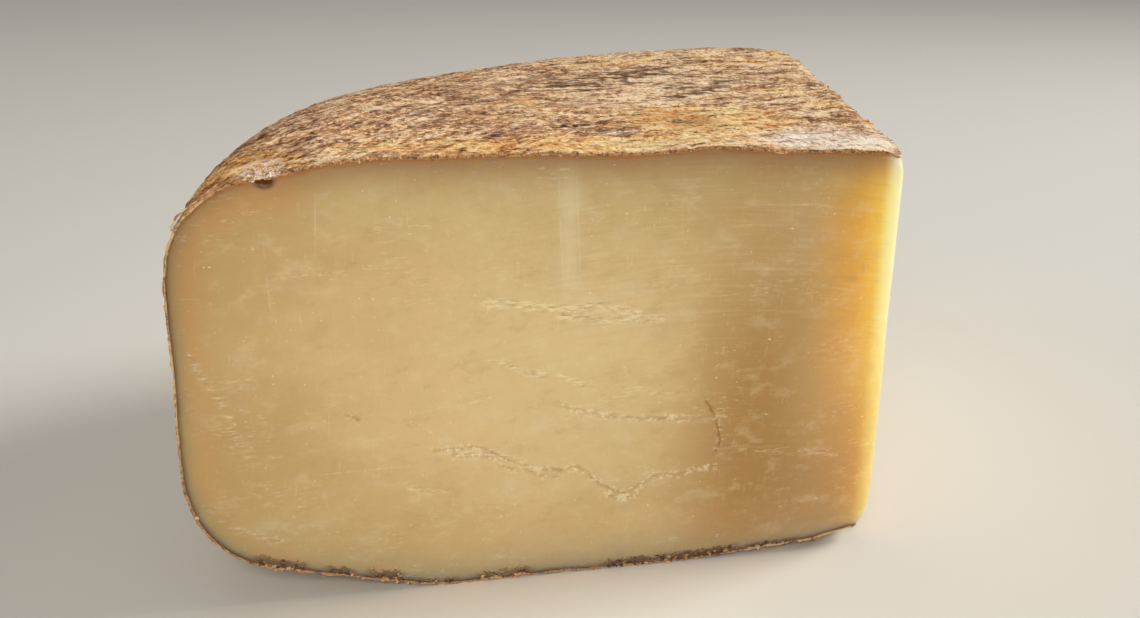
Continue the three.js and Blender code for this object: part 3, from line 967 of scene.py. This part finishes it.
def paste_surface():
    """Waxy ivory with soft cloudy tones, whitish where it tore, browner in the last millimetres, with painted
    light and shade: a lit middle, a glow, highlight and shade near the point, shade in the hollows.
    """
    material, shader, start = surface("paste")
    place = start.node("TexCoord", output=3)
    x = start.node("SeparateXYZ", {}, {0: place})
    y = start.node("SeparateXYZ", {}, {0: place}, output=1)
    z = start.node("SeparateXYZ", {}, {0: place}, output=2)
    kept = {name: start.node("Attribute", {"attribute_name": name}, output=2)
            for name in ("under_rind", "torn", "cracked", "split", "stain")}
    depth, torn, cracked = kept["under_rind"], kept["torn"], kept["cracked"]
    from_point = ((x - AXIS_X * MM) ** 2 + (y - AXIS_Y * MM) ** 2) ** 0.5

    cloudy = place.cloud((34, 34, 22), 3, 0.55)
    blotchy = place.cloud((7, 7, 4.5), 4, 0.65, seed=4)
    dots = place.cloud((0.9, 0.9, 0.7), 2, 0.6, seed=6)
    ticks = place.cloud((0.7, 0.7, 4), 3, 0.7, seed=7)
    arched = z + ((x - (AXIS_X - 40) * MM) ** 2) * 2.4
    bent = start.node("CombineXYZ", {}, {0: x, 1: y, 2: arched})
    streak = bent.cloud((15, 15, 0.75), 4, 0.65, seed=8)
    streaked = from_point.rise(84 * MM, 58 * MM) * z.rise(38 * MM, 62 * MM) * 0.8 + 0.2

    # Painted light: the middle of the front cut is painted paler, a pool of light from the front.
    painted_light_middle = from_point.near(66 * MM, 74 * MM) * z.near(47 * MM, 58 * MM)
    tone = start.node("Mix", {"data_type": "RGBA"}, {0: cloudy.rise(0.36, 0.64),
                      6: paint(208, 176, 122), 7: paint(219, 189, 138)}, output=2)
    tone = tone.mixed(paint(236, 213, 166), painted_light_middle * 0.75)
    tone = tone.mixed(paint(184, 132, 74), x.rise((AXIS_X - 104) * MM, (AXIS_X - 136) * MM) * 0.24)
    # Painted shade: a darker band about 27 mm out from the point on the front cut, stronger lower down, kept off
    # the second cut.
    shaded = from_point.near(27 * MM, 24 * MM) * (0.27 + 0.58 * z.rise(76 * MM, 34 * MM))
    shaded = shaded * y.rise((AXIS_Y + 16) * MM, (AXIS_Y + 4) * MM)
    tone = tone.mixed(paint(184, 138, 72), shaded)
    high = z.rise(26 * MM, 68 * MM)
    # Painted light: a yellow glow near the point, as if light shone through the thin paste there, stronger higher
    # up.
    tone = tone.mixed(paint(242, 189, 66), from_point.rise(20 * MM, 5 * MM) * (0.28 + 0.52 * high))
    tone = tone.mixed(paint(252, 208, 112), from_point.rise(9 * MM, 2 * MM) * (0.15 + 0.65 * high))
    # Painted shade: darker low down near the point.
    tone = tone.mixed(paint(176, 134, 84), from_point.rise(44 * MM, 10 * MM) * z.rise(44 * MM, 8 * MM) * 0.6)
    tone = tone.mixed(paint(236, 220, 182), blotchy.rise(0.5, 0.68) * 0.32)
    tone = tone.mixed(paint(196, 166, 116), blotchy.rise(0.48, 0.34) * 0.28)
    tone = tone.mixed(paint(240, 224, 186), streak.rise(0.53, 0.66) * streaked * 0.22)
    tone = tone.mixed(paint(196, 164, 114), streak.rise(0.46, 0.36) * streaked * 0.18)
    tone = tone.mixed(paint(240, 226, 192), ticks.rise(0.6, 0.74) * 0.3)
    drag = (x - (AXIS_X - 65.6) * MM).near(0, 3.2 * MM) * z.rise(57 * MM, 66 * MM)
    tone = tone.mixed(paint(240, 226, 190), drag * (0.26 + 0.32 * ticks))
    lines = [hairline(x, z, first, last, half) for first, last, half in HAIRLINES]
    for line in lines:
        tone = tone.mixed(paint(246, 232, 196), line * ticks.rise(0.4, 0.6) * 0.32)
    edge = (depth + 1.6 * (blotchy - 0.5)).rise(10, 0.2)
    upper = z.rise(30 * MM, 76 * MM)
    tone = tone.mixed(paint(206, 160, 112), edge * 0.5 * upper)
    tone = tone.mixed(paint(186, 132, 80), edge ** 3 * 0.7 * upper)
    tone = tone.mixed(paint(250, 190, 126), depth.rise(5, 0.2) * (0.75 - 0.65 * upper))
    tone = tone.mixed(paint(230, 178, 134), z.rise(18 * MM, 4 * MM) * 0.3)
    left = x.rise((AXIS_X - 106) * MM, (AXIS_X - 130) * MM)
    tone = tone.mixed(paint(250, 168, 96), edge * left * 0.5)
    rim = (depth + 0.8 * (dots - 0.5)).rise(1.2, 0.1)
    tone = tone.mixed(paint(255, 146, 66), rim * (0.6 + 0.1 * upper))
    ragged = depth + 6 * (place.cloud((2.2, 2.2, 1.5), 5, 0.8, seed=17) - 0.5)
    lip = 0.3 + 0.7 * depth.rise(0.2, 0.8)
    for first, last, reach, colour in FOOT_PATCHES:
        along = x.rise((AXIS_X - first - 2) * MM, (AXIS_X - first + 1) * MM)
        along = along * x.rise((AXIS_X - last + 2) * MM, (AXIS_X - last - 1) * MM) * z.rise(14 * MM, 9 * MM)
        tone = tone.mixed(paint(*colour), along * lip * ragged.rise(reach, reach - 0.7) * 0.7)
    flake = place.cloud((2.4, 1.6, 0.5), 4, 0.72, seed=12)
    tone = tone.mixed(paint(250, 238, 206), torn.rise(0.05, 0.8) * flake.rise(0.5, 0.58) * 0.85)
    # Painted shade: darker flakes along the torn streaks, beside the pale ones.
    tone = tone.mixed(paint(166, 124, 72), torn.rise(0.15, 0.7) * flake.rise(0.44, 0.4) * 0.45)
    patchy = place.cloud((16, 16, 7), 2, 0.5, seed=16).rise(0.52, 0.64)
    tone = tone.mixed(paint(248, 234, 200), patchy * flake.rise(0.55, 0.63) * 0.35)
    # Painted shade: darker flakes beside the pale ones in the patches.
    tone = tone.mixed(paint(186, 150, 100), patchy * flake.rise(0.42, 0.36) * 0.2)
    crumbly = place.cloud((1.3, 1, 1), 4, 0.75, seed=15)
    tone = tone.mixed(paint(248, 234, 200), cracked.rise(0.1, 0.7) * crumbly.rise(0.5, 0.6) * 0.65)
    tone = tone.mixed(paint(172, 126, 74), kept["split"] * crumbly.rise(0.62, 0.42) * 0.85)
    tone = tone.mixed(paint(248, 238, 210), dots.rise(0.68, 0.74) * 0.6)
    # Painted highlight: a pale cream edge along the point, brighter higher up.
    tone = tone.mixed(paint(255, 238, 208), from_point.rise(3.5 * MM, 0.5 * MM) * (0.2 + 0.55 * high))
    # Painted shade: dark brown in the hollows of the pocket and the eye.
    hollow_shade = kept["stain"].rise(0, 0.8) * (0.75 + 0.25 * dots.rise(0.35, 0.6))
    tone = tone.mixed(paint(90, 60, 44), hollow_shade * 0.9 * z.rise(60 * MM, 76 * MM))

    height = 0.5 * streak * streaked + 0.16 * dots + 0.3 * ticks + 0.25 * torn * flake + 0.3 * blotchy
    bump = start.node("Bump", {}, {"Strength": 0.8, "Distance": 0.35 * MM, "Height": height})
    feed(start, shader, Base_Color=tone, Normal=bump, Roughness=0.4 + 0.25 * blotchy)
    shader.inputs["Subsurface Weight"].default_value = 1
    shader.inputs["Subsurface Radius"].default_value = (1, 0.78, 0.24)
    shader.inputs["Subsurface Scale"].default_value = 28 * MM
    shader.inputs["Specular IOR Level"].default_value = 0.4
    return material


paste.data.materials.clear()
paste.data.materials.append(paste_surface())
only(paste)
bpy.ops.object.shade_smooth_by_angle(angle=math.radians(35))
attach(paste, "root")
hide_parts("cheese_piece")

# Crumbs of rind and paste that the knife left along the edges of both cuts, pale grains on the front
# cut, a strand of rind lifted at the left and the soft tufts of mould at the shoulder there.
CRUMBS_TOP = 430
CRUMBS_LOW = 150
CRUMBS_BEHIND = 240
TUFTS = 200
GRAINS = 45
BITS_PER_AREA = 6
PALE_SPECKS = ((105.1, 62.7), (135.6, 61.8), (136.6, 58.4), (130.9, 70.1), (123.5, 72.9), (133.9, 20.4),
               (131.5, 20.1), (123.1, 14.5), (112.6, 13.8))
FOOT_CRUMBS = ((0.7, 7.4), (1.2, 6.2), (1.9, 5.1), (2.6, 4.2))
STRAND_HEIGHTS = (82.2, 81.3, 80.4, 79.5, 78.6, 77.7, 77)


def crumb_surface(name, light, dark, share):
    """Dry crumbs, most of them light and some dark."""
    material, shader, start = surface(name)
    place = start.node("TexCoord", output=3)
    fleck = place.cloud((1.3, 1.3, 1.3), 2, 0.6, seed=3)
    tone = start.node("Mix", {"data_type": "RGBA"}, {0: fleck.rise(share - 0.04, share + 0.04),
                      6: paint(*dark), 7: paint(*light)}, output=2)
    feed(start, shader, Base_Color=tone)
    shader.inputs["Roughness"].default_value = 0.6
    return material


def grains(places, low, high, draw, tall=False):
    """Places with a random size for each, most of them small, flat grains or tall slim ones."""
    spots = []
    for place in places:
        size = low + (high - low) * draw.random() ** 2
        shape = [draw.uniform(0.7, 1.5), draw.uniform(0.6, 1.1), draw.uniform(0.5, 1)]
        spots.append((place, [size * part for part in (reversed(shape) if tall else shape)]))
    return spots


edges = np.concatenate([points_of(piece) for piece in rind_pieces])
upper = edges[edges[:, 2] > RIND_SEAMS[0]]
lower = edges[edges[:, 2] < RIND_SEAMS[0]]
dry = edges[(edges[:, 0] > AXIS_X - 112) & (np.hypot(edges[:, 0] - AXIS_X, edges[:, 1] - AXIS_Y) > 3)]
dry = dry[dry[:, 2] > RIND_SEAMS[0]]
spots = grains(along_edge(dry, False, CRUMBS_TOP, 0.2, draw), 0.08, 0.28, draw, tall=True)
spots += grains(along_edge(lower[lower[:, 2] < 9], False, CRUMBS_LOW, 0.4, draw), 0.1, 0.38, draw)
spots += grains(along_edge(edges, True, CRUMBS_BEHIND, 0.6, draw), 0.1, 0.3, draw)
crumbs = lumps("edge_crumbs", spots, draw, 1, 0.45)

around = np.linalg.norm((upper - np.array(POCKET) - (-0.5, 2, 0.5)) / (3.6, 3, 3), axis=1)
near_pocket = upper[around < 1]
tuft_places = [near_pocket[draw.randrange(len(near_pocket))] for _ in range(TUFTS)]
tufts = lumps("mould_tufts", grains(tuft_places, 0.08, 0.26, draw), draw, 1, 0.45)

face = points_of(paste)
face = face[(face[:, 1] < AXIS_Y + 0.4) & (AXIS_X - face[:, 0] > 3)]
heavy = [face[draw.randrange(len(face))] for _ in range(GRAINS)]
for run, height in PALE_SPECKS:
    heavy.append(face[np.argmin(np.hypot(AXIS_X - face[:, 0] - run, face[:, 2] - height))])
face = points_of(paste)
for run, height in FOOT_CRUMBS:
    heavy.append(face[np.argmin(np.abs(face[:, 2] - height) + np.hypot(face[:, 0] - AXIS_X, face[:, 1] - AXIS_Y))])
specks = lumps("pale_specks", grains(heavy, 0.1, 0.34, draw), draw, 1, 0.3)

run = AXIS_X - face[:, 0]
bit_spots = []
for first, last, reach, colour in FOOT_PATCHES:
    near_rind = (face[:, 1] < AXIS_Y + 0.4) & (face[:, 2] < 14) & (run > last) & (run < first)
    spots = face[near_rind & (depths < reach)]
    shares = depths[near_rind & (depths < reach)] / reach
    for _ in range(round((first - last) * reach * BITS_PER_AREA)):
        i = draw.randrange(len(spots))
        if draw.random() > shares[i]:
            bit_spots.append(spots[i])
flat = [(spot, (x, y * 0.4, z)) for spot, (x, y, z) in grains(bit_spots, 0.14, 0.5, draw)]
bits = lumps("crust_bits", flat, draw, 1, 0.45)

heel = lower[lower[:, 1] < AXIS_Y + 0.5]
strand_spots = []
for i, height in enumerate(STRAND_HEIGHTS):
    part = i / (len(STRAND_HEIGHTS) - 1)
    beside = upper if height > RIND_SEAMS[0] else heel
    beside = beside[(np.abs(beside[:, 2] - height) < 0.5) & (beside[:, 1] < AXIS_Y + 0.5)]
    leftmost = beside[np.argmin(beside[:, 0])]
    bow = math.sin(math.pi * part)
    strand_spots.append(((leftmost[0] - 0.75 * bow, leftmost[1] + 0.2, height), 0.5 + 0.6 * bow))
strand = path(strand_spots, 0.19, "rind_strand")

for piece, material, slot in (
    (crumbs, crumb_surface("crumbs", (230, 184, 132), (150, 98, 60), 0.46), "rind"),
    (tufts, crumb_surface("mould", (242, 226, 212), (160, 130, 114), 0.46), "rind"),
    (specks, crumb_surface("specks", (246, 234, 206), (232, 212, 172), 0.5), "paste"),
    (bits, crumb_surface("crust", (208, 166, 120), (88, 56, 36), 0.54), "rind"),
    (strand, crumb_surface("strand", (240, 206, 150), (176, 124, 70), 0.45), "rind"),
):
    piece.data.materials.clear()
    piece.data.materials.append(material)
    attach(piece, "root")
    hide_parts("cheese_piece")

# The floor is a wide pale sheet. A large soft lamp behind and to the right lights the second cut and
# the top of the rind, a broad one in front fills the shadow, and the world is a plain dim white.
FLOOR_SIZE = 16

bpy.ops.object.select_all(action="DESELECT")
bpy.ops.mesh.primitive_plane_add(size=FLOOR_SIZE)
floor = bpy.context.object
floor.name = "floor"
floor_material, floor_shader, start = surface("floor")
floor_shader.inputs["Base Color"].default_value = paint(220, 217, 212)
floor_shader.inputs["Roughness"].default_value = 0.75
floor.data.materials.append(floor_material)


def lamp(name, place, target, size, power, tint, spread=180):
    """A soft square lamp that points at a target. Places and sizes are in metres, the spread in degrees."""
    data = bpy.data.lights.new(name, "AREA")
    data.size = size
    data.energy = power
    data.color = tint
    data.spread = math.radians(spread)
    lit = bpy.data.objects.new(name, data)
    bpy.context.scene.collection.objects.link(lit)
    lit.location = place
    lit.rotation_euler = (Vector(target) - Vector(place)).to_track_quat("-Z", "Y").to_euler()


lamp("key", (1.75, 0.25, 1.05), (0.03, 0, 0.05), 0.8, 4.8, (1, 0.99, 0.92), 60)
lamp("front", (-0.14, -0.46, 0.3), (-0.035, -0.07, 0.046), 0.16, 0.104, (1, 0.97, 0.84), 50)
lamp("side", (-1.6, 0.3, 1), (-0.05, 0, 0.06), 0.6, 1.8, (1, 0.93, 0.86))
lamp("top", (0, 0.3, 1.6), (0, 0.2, 0), 1.2, 2.2, (1, 0.96, 0.88))
world = bpy.data.worlds.new("world")
world.use_nodes = True
world.node_tree.nodes["Background"].inputs["Color"].default_value = paint(235, 232, 228)
world.node_tree.nodes["Background"].inputs["Strength"].default_value = 0.34
bpy.context.scene.world = world
bpy.context.scene.view_settings.view_transform = "Standard"
